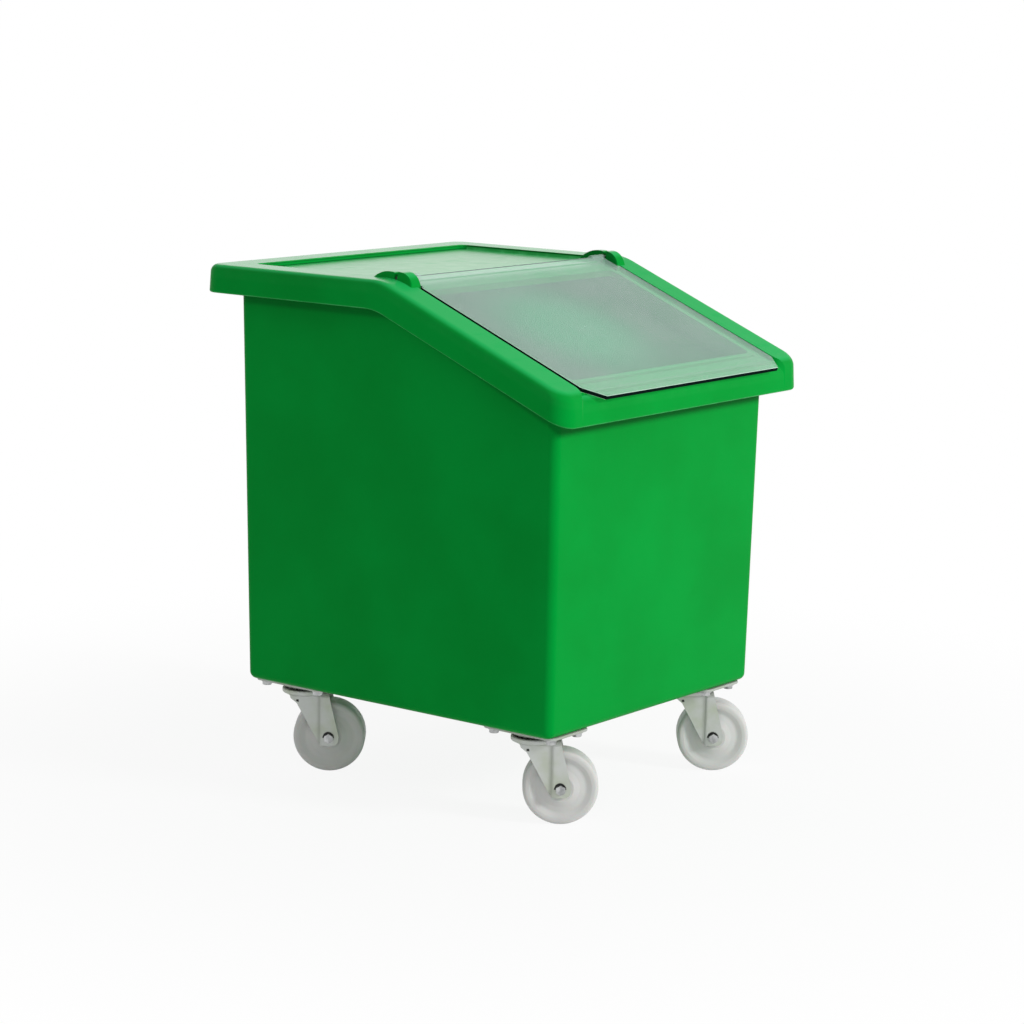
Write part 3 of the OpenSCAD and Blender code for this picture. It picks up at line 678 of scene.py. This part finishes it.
def tubSurfaces():
    # one section carried round a rounded rectangle: base edge, drafted wall, flange, inner wall, floor;
    # the flange follows the hood's sheet, so wall heights are shares of the way up to it
    low, high = reach("tub")
    draftTan = np.tan(np.radians(tub["draft"]))
    rimDepth = hood["wall"] + tub["gap"]
    rimTop = topLevel - rimDepth
    outX = high[0] - tub["flange"] - (rimTop - low[2]) * draftTan  # outside half width at the base
    outY = high[1] - tub["flange"] - (rimTop - low[2]) * draftTan
    corner, wall, base = tub["corner"], tub["wall"], tub["base"]
    sx, sy, nx, ny = ringFrame(np.linspace(-1, 1, 41), np.linspace(-1, 1, 61), 12)
    turn = np.linspace(0, np.pi / 2, 9)
    upShare = joined(np.linspace(0, 0.86, 22)[1:], np.linspace(0.86, 1, 40)[1:])  # close by the skirt
    yRim = sy * (outY + (rimTop - low[2]) * draftTan - corner) + corner * ny
    depth = rimDepth + tub["frontDrop"] * stepUp(-yRim, outY - corner, tub["stepRun"])
    rimUnder = sheetZ(yRim, depth + tub["flangeSheet"])
    rimOver = sheetZ(yRim, depth)
    outs, heights = [], []

    def addRows(out, z):
        # rows of the section: how far out from the wall, and the height of each
        outs.append(np.broadcast_to(np.reshape(out, (-1, 1)), (np.size(out), len(sx))))
        heights.append(np.broadcast_to(z, (np.size(out), len(sx))))

    addRows(-base * (1 - np.sin(turn)), low[2] + base * (1 - np.cos(turn))[:, None])
    root, flange, sheet, edge = tub["root"], tub["flange"], tub["flangeSheet"], tub["flangeRound"]
    wallTop = rimUnder - root
    addRows(0 * upShare, low[2] + base + (wallTop - low[2] - base) * upShare[:, None])
    addRows(root * (1 - np.cos(turn))[1:], wallTop + root * np.sin(turn)[1:, None])
    addRows(np.array([flange * 0.6, flange - edge]), rimUnder)
    edgeTurn = np.linspace(0, np.pi, 7)[:, None]
    addRows(flange - edge + edge * np.sin(edgeTurn), rimUnder + sheet / 2 - sheet / 2 * np.cos(edgeTurn))
    mouth = tub["mouth"]
    addRows(np.array([flange * 0.5, mouth]), rimOver)
    inTurn = turn[1:]
    addRows(-wall + mouth * (1 - np.sin(inTurn)), rimOver - mouth * (1 - np.cos(inTurn))[:, None])
    innerBase = base - wall
    floor = low[2] + wall
    downShare = np.linspace(0, 1, 28)[1:]
    addRows(0 * downShare - wall, rimOver - mouth + (floor + innerBase - rimOver + mouth) * downShare[:, None])
    addRows(-wall - innerBase * (1 - np.cos(inTurn)), floor + innerBase - innerBase * np.sin(inTurn)[:, None])
    out = np.concatenate(outs)
    z = np.concatenate(heights)
    hx = outX + (z - low[2]) * draftTan - corner
    hy = outY + (z - low[2]) * draftTan - corner
    points = np.stack([sx * hx + (corner + out) * nx, sy * hy + (corner + out) * ny, z], -1)
    points = capped(points, tub["capRings"])
    skirtLow = sheetZ(sy * cornerY + hood["corner"] * ny, hood["skirt"])
    below = skirtLow - points[..., 2]  # how far under the skirt's lower edge
    # painted shadow: a dark band on the tub's wall just under the hood's skirt
    skirtShadow = band(below, *tub["skirtShadow"])
    surfaces = [gridSurface(points, -tub["skirtShadowStrength"] * skirtShadow)]

    # blind bosses of the caster bolts on the floor
    top, foot = floor + tub["bossRise"], floor - tub["bossRoot"]
    boss = filleted([(0, top, 0), (tub["boss"], top, tub["bossRound"]), (tub["boss"], foot, 0), (0, foot, 0)])
    return surfaces + [moved(lathe(boss, 40), turned(0, (x, y, 0))) for x, y in boltPlaces]


casterNames = ["front_left", "front_right", "rear_left", "rear_right"]
casters = []
for casterName in casterNames:
    swivel, roll = jointAt[casterName + "_swivel"], jointAt[casterName + "_roll"]
    lean = roll - swivel
    casters.append({"name": casterName, "at": swivel, "turn": np.arctan2(lean[1], lean[0]),
                    "trail": np.hypot(lean[0], lean[1]), "axle": roll[2]})
boltOff = {"across": 22.5, "along": 37.5}
boltPlaces = [(caster["at"][0] + sx * boltOff["across"], caster["at"][1] + sy * boltOff["along"])
              for caster in casters for sx in (-1, 1) for sy in (-1, 1)]
makePiece("tub_shell", tubSurfaces(), "tub_body", "green_moulding", ["tub"])
print("tub made")


# Flap

flap = {
    "sheet": 4.5, "rise": 2.3, "sideGap": 3, "overhang": 8, "cutWide": 18, "cutLong": 22, "edge": 0.45,
    "seam": 0.08, "bossGap": 1.5, "knuckle": 3.5, "knuckleLong": 24, "knuckleRound": 0.5, "pin": 2,
    "bevelHighlight": 0.4, "cutFaceBlack": 1.0, "rearFaceBlack": 2.2,
}


def flapSurfaces():
    # one closed section with bevelled edges, as wide as the outline is at each station down the slope;
    # the first and last sections are thinner by the bevel and closed by a cap
    slopeCos = np.cos(np.radians(hood["slope"]))
    slopeSin = np.sin(np.radians(hood["slope"]))
    wide = recessHalf - flap["sideGap"]
    narrow = recessHalf - hood["bossIn"] - flap["bossGap"]
    long = (hinge[1] + hoodDeep + flap["overhang"]) / slopeCos
    notch = (hood["frontCrest"] + hood["frontHump"]) / slopeCos + flap["bossGap"]
    floorRise = (hinge[2] - topLevel + hood["recess"]) * slopeCos
    floorRise = floorRise - (hood["hingeBack"] - hood["recess"] * halfTan) * slopeSin
    low = flap["rise"] - floorRise
    e, top = flap["edge"], low + flap["sheet"]
    cutHalf = wide - flap["cutWide"]
    black = e + flap["seam"]  # the cut faces start just under the bevels
    stations = np.array([
        [0, narrow - e, black], [flap["seam"], narrow - e, e], [e, narrow, 0], [notch, narrow, 0],
        [notch, wide, 0], [long - flap["cutLong"], wide, 0], [long - e, cutHalf + e * 0.8, 0],
        [long - flap["seam"], cutHalf, e], [long, cutHalf, black]])
    down, half, thin = stations[:, :1], stations[:, 1:2], stations[:, 2:]
    share = np.linspace(-1, 1, 13)
    side = top - np.maximum(e, thin)
    over = joined(-half, -half, share * (half - e), half, half, axis=1)
    overZ = joined(side - flap["seam"], side, top - thin + 0 * share, side, side - flap["seam"], axis=1)
    underX = joined(half, half, -share * (half - e / 2), -half, -half, axis=1)
    foot = low + e / 2 + 0 * half
    underZ = joined(foot + flap["seam"], foot, low + np.minimum(thin, e) / 2 + 0 * share,
                    foot, foot + flap["seam"], axis=1)
    x = joined(over, underX, axis=1)
    ring = np.stack([x, down + 0 * x, joined(overZ, underZ, axis=1)], -1)
    count = over.shape[1]
    cut = np.zeros(x.shape)
    bevel, face, rear = flap["bevelHighlight"], flap["cutFaceBlack"], flap["rearFaceBlack"]
    cut[:, [1, count - 2, count + 1, -2]] = bevel  # painted highlight on these bevels
    cut[:, [0, count - 1, count, -1]] = face  # these cut faces are painted black
    cut = np.where(thin >= black, face, np.where(thin == e, np.maximum(cut, bevel), cut))
    # painted black line along the rear edge, seen from both sides
    cut[0, :count] = rear
    cut[0, count:] = 0
    surfaces = [gridSurface(ring, cut)]
    for k, wornOrPaintedLight in ((0, [[rear], [0.0]]), (-1, [[face], [face]])):
        surfaces.append(gridSurface(np.stack([ring[k, :count], ring[k, count:][::-1]]), np.array(wornOrPaintedLight),
                                    closeColumns=False))
    bore, radius, knuckleLong, soft = flap["pin"], flap["knuckle"], flap["knuckleLong"], flap["knuckleRound"]
    knuckle = filleted([(bore, 0, 0), (radius, 0, soft), (radius, knuckleLong, soft), (bore, knuckleLong, 0)])
    tilt = placing((1, 0, 0), (0, -slopeCos, -slopeSin), (0, -slopeSin, slopeCos), hinge)
    placed = [moved(surface, tilt) for surface in surfaces]
    for start in (wide - flap["knuckleLong"], -wide):
        lie = placing((0, 0, -1), (0, 1, 0), (1, 0, 0), hinge + (start, 0, 0))
        placed.append(moved(lathe(knuckle, 32), lie))
    return placed


makePiece("flap_sheet", flapSurfaces(), "flap_body", "clear_sheet", ["flap"])
print("flap made")


# Casters

wheel = {
    "bore": 5.05, "hub": 14, "hubHalf": 17.5, "shoulder": 20.5, "shoulderHalf": 14.8, "web": 27,
    "webHalf": 13.2, "rimIn": 33, "rimHalf": 15, "tread": 40, "treadRound": 4.5,
    "rounds": (0.5, 3, 9, 7, 4.5), "around": 128,
}


def wheelSurface():
    # half section from bore to tread, mirrored and turned about the axle
    w = wheel
    boreRound, hubRound, shoulderRound, webRound, rimRound = w["rounds"]
    half = filleted([
        (w["bore"], 0, 0), (w["bore"], w["hubHalf"], boreRound), (w["hub"], w["hubHalf"], hubRound),
        (w["shoulder"], w["shoulderHalf"], shoulderRound), (w["web"], w["webHalf"], webRound),
        (w["rimIn"], w["rimHalf"], rimRound), (w["tread"], w["rimHalf"], w["treadRound"]),
        (w["tread"], 0, 0)], 9)
    other = half[::-1][1:-1] * (1, -1)
    section = joined(half, other)
    rubOrPaintedLight = np.where(section[:, 0] > w["tread"] - 1, 1.0, 0.0)
    return lathe(section, w["around"], rubOrPaintedLight, closeRows=True)


fork = {
    "sheet": 2.5, "inside": 36, "crownTop": 91, "bend": 4, "headRadius": 25, "soft": 0.5,
    "lead": [(-16.5, 90), (-15.5, 85), (-8.7, 79.5), (14.6, 36.5), (18.4, 31)], "leadRound": [2, 5, 6, 4],
    "trailing": [(27, 90), (38.5, 42), (37.4, 31), (28, 31)], "trailRound": [3, 7], "footLong": 3,
    "stepAt": 18.6, "stepHalf": 1.4, "stepRise": 1.2, "lineOff": 1.8, "lineWide": 2.4, "stepShadeLevel": 0.45,
    "ventAt": (-7.6, 82.2), "ventRadius": 1.6, "holeAndShadowBlack": 2.0,
    "boltAt": (27.3, 40), "boltRing": (2.2, 6.3), "ringOff": (-0.5, 0.9),
}


def forkSurface():
    # sheet carried over an upside-down U: rows follow the U, columns run from its leading to its trailing edge
    f = fork
    y = f["inside"] / 2 + f["sheet"] / 2
    top = f["crownTop"] - f["sheet"] / 2
    foot = f["lead"][-1][1]
    rounds = [0] + f["leadRound"]
    footEnd = (f["lead"][-1][0] + f["footLong"], foot, 0)
    leading = filleted([(*at, r) for at, r in zip(f["lead"], rounds)] + [footEnd], 5)[::-1]
    trailing = filleted([(*at, r) for at, r in zip(f["trailing"], [0] + f["trailRound"] + [0])], 8)[::-1]
    legZ = spread(foot, (foot + 18, 0.5), (78, 1.6), (top - f["bend"], 0.7))
    legZ = np.unique(joined(legZ, leading[1:-1, 1], trailing[1:-1, 1]))
    legZ = legZ[(legZ >= foot) & (legZ <= top - f["bend"])]
    turn = np.linspace(0, np.pi / 2, 7)[1:]
    crownY = np.linspace(-y + f["bend"], 0, 14)[1:]
    pathY = joined(0 * legZ - y, -y + f["bend"] * (1 - np.cos(turn)), crownY)
    pathZ = joined(legZ, top - f["bend"] + f["bend"] * np.sin(turn), 0 * crownY + top)
    startX = np.interp(pathZ, leading[:, 1], leading[:, 0])
    head = np.sqrt(np.maximum(f["headRadius"] ** 2 - pathY ** 2, 0))
    onCrown = stepUp(pathZ, top - f["bend"] / 2, f["bend"] / 2)
    startX = startX + (-head - startX) * onCrown
    endX = np.interp(pathZ, trailing[:, 1], trailing[:, 0])
    share = np.linspace(0, 1, 65)
    x = startX[:, None] + (endX - startX)[:, None] * share
    z = np.repeat(pathZ[:, None], len(share), 1)
    out = f["stepRise"] * stepUp(x, f["stepAt"], f["stepHalf"]) * (1 - onCrown)[:, None]
    leg = np.stack([x, pathY[:, None] - out, z], -1)

    # painted shade: a dark line under the step, and painted black in the punched hole and for the shadow on one
    # side of the bolt's head
    line = np.exp(-((x - f["stepAt"] + f["lineOff"]) / f["lineWide"]) ** 2) * (1 - onCrown)[:, None]
    fromVent = np.hypot(x - f["ventAt"][0], z - f["ventAt"][1])
    fromBolt = np.hypot(x - f["boltAt"][0] - f["ringOff"][0], z - f["boltAt"][1] - f["ringOff"][1])
    inner, outer = f["boltRing"]
    ring = (fromBolt < outer) & (fromBolt > inner) & (z > f["boltAt"][1])
    flatLeg = onCrown[:, None] < 0.5
    rubOrPaintedLight = np.where(flatLeg & ((fromVent < f["ventRadius"]) | ring), f["holeAndShadowBlack"], f["stepShadeLevel"] * line)
    quads = gridQuads(*x.shape)
    flat = leg.reshape(-1, 3)
    return [(flat, quads, rubOrPaintedLight.reshape(-1)), (flat * (1, -1, 1), quads[:, ::-1], rubOrPaintedLight.reshape(-1))]


# plateShade and raceShade: painted shade that darkens the plate and its race under the tub
plate = {
    "across": 33.5, "along": 47.5, "corner": 9, "sheet": 3, "edge": 0.9, "plateShade": 0.25, "raceShade": 1.0,
    "raceHigh": 4, "raceIn": 15, "raceOut": 25, "raceRound": 1.2, "cupOut": 26, "cupLow": 88.6, "cupHigh": 93.6,
    "cupRound": 1.6, "groove": 2.8, "grooveAt": 20, "grooveShare": 0.6, "ballLevel": 94.8, "capRings": (0, 0.6),
}


def roundSlab(across, along, corner, low, high, edge):
    # rounded rectangle with rounded edges: rings shrunk towards the middle close it above and below
    sx, sy, nx, ny = ringFrame(np.linspace(-1, 1, 9), np.linspace(-1, 1, 13), 8)
    turn = np.linspace(0, np.pi / 2, 5)
    out = joined(-edge * (1 - np.sin(turn)), -edge * (1 - np.cos(turn)))
    z = joined(low + edge * (1 - np.cos(turn)), high - edge * (1 - np.sin(turn)))
    x = sx * (across - corner) + (corner + out[:, None]) * nx
    y = sy * (along - corner) + (corner + out[:, None]) * ny
    points = np.stack([x, y, z[:, None] + 0 * x], -1)
    return gridSurface(capped(points, plate["capRings"]), plate["plateShade"])


def closedLathe(outline, wornOrPaintedLight, count=96):
    # outline that returns to its first point, turned about Z
    return lathe(outline, count, np.full(len(outline), wornOrPaintedLight), closeRows=True)


def ballGroove(level, side):
    # round groove in a ring's face at `level`, cut upwards for side 1 and down for -1; and its half width
    turn = np.linspace(0, np.pi, 9)
    dip = np.sqrt(plate["groove"] ** 2 - (level - plate["ballLevel"]) ** 2)
    deep = side * plate["grooveShare"] * dip * np.sin(turn)
    return np.stack([plate["grooveAt"] + side * dip * np.cos(turn), level + deep], -1), dip


def upperRace(top):
    # ring under the plate with a groove for the balls
    p = plate
    low = top - p["raceHigh"]
    groove, dip = ballGroove(low, 1)
    outside = filleted([(p["raceIn"], top, 0), (p["raceOut"], top, 0), (p["raceOut"], low, p["raceRound"]),
                        (p["grooveAt"] + dip, low, 0)])
    return closedLathe(joined(outside, groove[1:], [(p["raceIn"], low)]), p["raceShade"])


def lowerCup():
    # dished ring on the fork's head: rolled outer lip and a groove for the balls
    p = plate
    low, high = p["cupLow"], p["cupHigh"]
    groove, dip = ballGroove(high, -1)
    outside = filleted([(p["grooveAt"] + dip, high, 0), (p["cupOut"], high, p["cupRound"]),
                        (p["cupOut"], low, p["cupRound"]), (p["raceIn"], low, 0), (p["raceIn"], high, 0)])
    return closedLathe(joined(groove, outside[1:]), 0.0)


screw = {
    "thread": 3, "pitch": 1.0, "threadDeep": 0.5, "flats": 9.75, "nut": 4.8, "head": 3.96, "tail": 2,
    "chamfer": 0.55, "coneHigh": 1.3, "coneShare": 0.96, "tipIn": 0.7, "tipSlope": 0.8, "rowStep": 0.16,
    "sunk": 0.1, "pole": 0.01,
}


def hexSolid(flats, high, bore=0.0):
    # hexagon prism whose corners are turned off by a cone at both ends; a bore leaves a hole
    s = screw
    angle = np.linspace(0, 2 * np.pi, 72, endpoint=False)
    hexagon = flats / 2 / np.cos((angle + np.pi / 6) % (np.pi / 3) - np.pi / 6)
    cone = np.linspace(0, s["coneHigh"], 5)
    z = joined([0, 0], cone, high - cone[::-1], [high, high])
    turnedOff = flats / 2 * s["coneShare"] + np.minimum(z, high - z) / s["chamfer"]
    radius = np.minimum(hexagon, turnedOff[:, None])
    radius[[0, -1]] = max(bore, s["pole"])
    radius[[1, -2]] = max(bore, s["pole"]) * 0.5 + radius[[2, -3]] * 0.5
    return gridSurface(aroundZ(radius, angle, z[:, None]), closeRows=bore > 0)


def threadedRod(low, high):
    # rod whose radius rises and falls along a helix, with turned-down ends
    s = screw
    angle = np.linspace(0, 2 * np.pi, 24, endpoint=False)
    steps = np.linspace(low, high, max(8, int((high - low) / s["rowStep"])))
    z = joined([low, low], steps, [high, high])
    saw = np.abs(((z[:, None] / s["pitch"] - angle / (2 * np.pi)) % 1) * 2 - 1)
    radius = s["thread"] - s["threadDeep"] * saw
    tip = s["thread"] - s["tipIn"] + np.minimum(z - low, high - z)[:, None] * s["tipSlope"]
    radius = np.minimum(radius, tip)
    radius[[0, -1]] = s["pole"]
    return gridSurface(aroundZ(radius, angle, z[:, None]))


def layAlongAxle(caster, start):
    # placing matrix for a piece turned about Z: lies along the axle, from `start` across the fork
    c, s = np.cos(caster["turn"]), np.sin(caster["turn"])
    at = (caster["at"][0] + c * caster["trail"] - s * start,
          caster["at"][1] + s * caster["trail"] + c * start, caster["axle"])
    return placing((c, s, 0), (0, 0, -1), (-s, c, 0), at)


def finishSheet(piece, sheet, edge):
    # thickness both ways from the middle of the sheet, and soft edges
    wall = piece.modifiers.new("sheet", "SOLIDIFY")
    wall.thickness = sheet * mm
    wall.offset = 0
    soft = piece.modifiers.new("soft_edges", "BEVEL")
    soft.width = edge * mm
    soft.segments = 2
    soft.limit_method = "ANGLE"
    soft.angle_limit = np.radians(50)


tubFloor = reach("tub")[0][2]
plateLow = tubFloor - plate["sheet"]
legOut = fork["inside"] / 2 + fork["sheet"] + fork["stepRise"]
boltLong = 2 * legOut + screw["nut"] + screw["tail"]
for caster in casters:
    name = caster["name"]
    body = name + "_fork_body"
    onFork = turned(caster["turn"], (caster["at"][0], caster["at"][1], 0))
    onTub = turned(0, (caster["at"][0], caster["at"][1], 0))
    rolling = [moved(wheelSurface(), layAlongAxle(caster, 0))]
    makePiece(name + "_nylon_wheel", rolling, name + "_wheel_body", "nylon", [name + "_wheel"])
    pressed = [moved(part, onFork) for part in forkSurface()]
    legs = makePiece(name + "_pressed_fork", pressed, body, "zinc", [name + "_fork"])
    finishSheet(legs, fork["sheet"], fork["soft"])
    makePiece(name + "_dished_race", [moved(lowerCup(), onFork)], body, "zinc", [name + "_race_cup"])
    slab = roundSlab(plate["across"], plate["along"], plate["corner"], plateLow, tubFloor, plate["edge"])
    held = [moved(slab, onTub), moved(upperRace(plateLow), onTub)]
    makePiece(name + "_top_plate", held, "tub_body", "zinc", [name + "_plate"])
    bolt = [moved(hexSolid(screw["flats"], screw["head"]), layAlongAxle(caster, -legOut - screw["head"])),
            moved(threadedRod(-screw["sunk"], boltLong), layAlongAxle(caster, -legOut))]
    makePiece(name + "_hex_bolt", bolt, body, "steel", [name + "_axle_bolt"])
    nut = [moved(hexSolid(screw["flats"], screw["nut"], screw["thread"]), layAlongAxle(caster, legOut))]
    makePiece(name + "_hex_nut", nut, body, "steel", [name + "_axle_nut"])
print("casters made:", len(casters))

bolts = []
headTop = reach("caster_washers")[0][2]
headLow = headTop - screw["head"]
shankTop = reach("caster_bolts")[1][2] - headTop + screw["head"]
for x, y in boltPlaces:
    at = turned(0, (x, y, headLow))
    bolts += [moved(hexSolid(screw["flats"], screw["head"]), at),
              moved(threadedRod(screw["head"] - screw["sunk"], shankTop), at)]
makePiece("plate_bolts", bolts, "tub_body", "steel", ["caster_bolts"])

# CAD nodes that stay as they are
keptSlots = {"left_hinge_pin": "greaseAndShade", "right_hinge_pin": "greaseAndShade", "caster_washers": "steel",
             "caster_inserts": "steel"}
# balls and king pins: dark steel as painted shade in the gap between the races
for caster in casters:
    keptSlots.update({caster["name"] + "_" + part: "greaseAndShade" for part in ("balls", "king_pin")})
    keptSlots[caster["name"] + "_axle_sleeve"] = "steel"
for node, slot in keptSlots.items():
    for part in frame["nodes"][node].material_slots:
        part.material = finishes[slot]
print("fasteners made, kept nodes finished:", len(keptSlots))


# Stage, light and camera

studio = {"fill": 0.46, "floor": 12, "floorTone": 0.9, "floorRoughness": 0.7, "floorGlow": 0.90,
          "pool": (0.35, 1.1)}
key = {"at": (0.6, -3.4, 1.85), "aim": (0, 0, 0.3), "size": 0.8, "watts": 82}
camera = {"at": (-2.536, -1.960, 0.869), "azimuth": -52.51, "elevation": 10.19, "roll": 1.06, "lens": 103.1,
          "sensor": 36}


def seenRays(tree):
    # 1 for rays from the camera, off a gloss or through a clear piece, else 0
    path = tree.nodes.new("ShaderNodeLightPath").outputs
    seen, *others = [Wire(tree, path["Is " + kind + " Ray"]) for kind in ("Camera", "Glossy", "Transmission")]
    for other in others:
        seen = seen.maths("MAXIMUM", seen, other)
    return seen


def whiteWorld():
    # lights at the fill level, and looks white
    world = bpy.data.worlds.new("studio")
    bpy.context.scene.world = world
    world.use_nodes = True
    tree = world.node_tree
    level = studio["fill"] + seenRays(tree) * (1 - studio["fill"])
    level.into("Strength", "Background")
    tree.nodes["Background"].inputs["Color"].default_value = grey(1)


def paleFloor():
    # flat square; looks almost white, fully so outside the pool where the shadow falls
    half = studio["floor"]
    x, y = np.meshgrid(np.linspace(-half, half, 3), np.linspace(-half, half, 3))
    points, quads = gridSurface(np.stack([x, y, 0 * x], -1), closeColumns=False)[:2]
    mesh = bpy.data.meshes.new("floor")
    mesh.from_pydata(points.tolist(), [], quads.tolist())
    material, place = startFinish("pale_floor", Roughness=studio["floorRoughness"],
                                  Base_Color=grey(studio["floorTone"]))
    away = place.node("ShaderNodeVectorMath", {"operation": "LENGTH"}, {0: place}, "Value")
    far = away.above(*studio["pool"])
    share = seenRays(place.tree) * (studio["floorGlow"] + (1 - studio["floorGlow"]) * far)
    glow = place.node("ShaderNodeEmission", {}, {})
    blend = place.node("ShaderNodeMixShader", {}, {0: share, 1: place.shaded(), 2: glow})
    blend.into("Surface", "Material Output")
    mesh.materials.append(material)
    floor = added("floor", mesh)


def areaLamp(name, settings):
    # round lamp, turned so that it looks from its place to its aim
    at, aim = np.array(settings["at"], float), np.array(settings["aim"], float)
    lamp = bpy.data.lights.new(name, "AREA")
    lamp.shape = "DISK"
    lamp.size = settings["size"]
    lamp.energy = settings["watts"]
    holder = added(name, lamp)
    holder.visible_camera = False
    holder.visible_glossy = False
    back = (at - aim) / np.linalg.norm(at - aim)
    right = np.cross((0, 0, 1), back)
    right = right / np.linalg.norm(right)
    holder.matrix_world = Matrix(placing(right, np.cross(back, right), back, at).tolist())


def photoCamera():
    # azimuth from the front, elevation and roll of the view, in degrees
    azimuth, elevation, roll = np.radians([camera["azimuth"], camera["elevation"], camera["roll"]])
    flat = np.cos(elevation)
    back = np.array([np.sin(azimuth) * flat, -np.cos(azimuth) * flat, np.sin(elevation)])
    level = np.array([np.cos(azimuth), np.sin(azimuth), 0])
    upright = np.cross(back, level)
    right = np.cos(roll) * level + np.sin(roll) * upright
    up = np.cos(roll) * upright - np.sin(roll) * level
    lens = bpy.data.cameras.new("photo_view")
    lens.lens = camera["lens"]
    lens.sensor_width = camera["sensor"]
    holder = added("photo_view", lens)
    holder.matrix_world = Matrix(placing(right, up, back, camera["at"]).tolist())
    bpy.context.scene.camera = holder


whiteWorld()
paleFloor()
areaLamp("key", key)
photoCamera()
bpy.context.scene.view_settings.view_transform = "Standard"
print("stage, light and camera set")
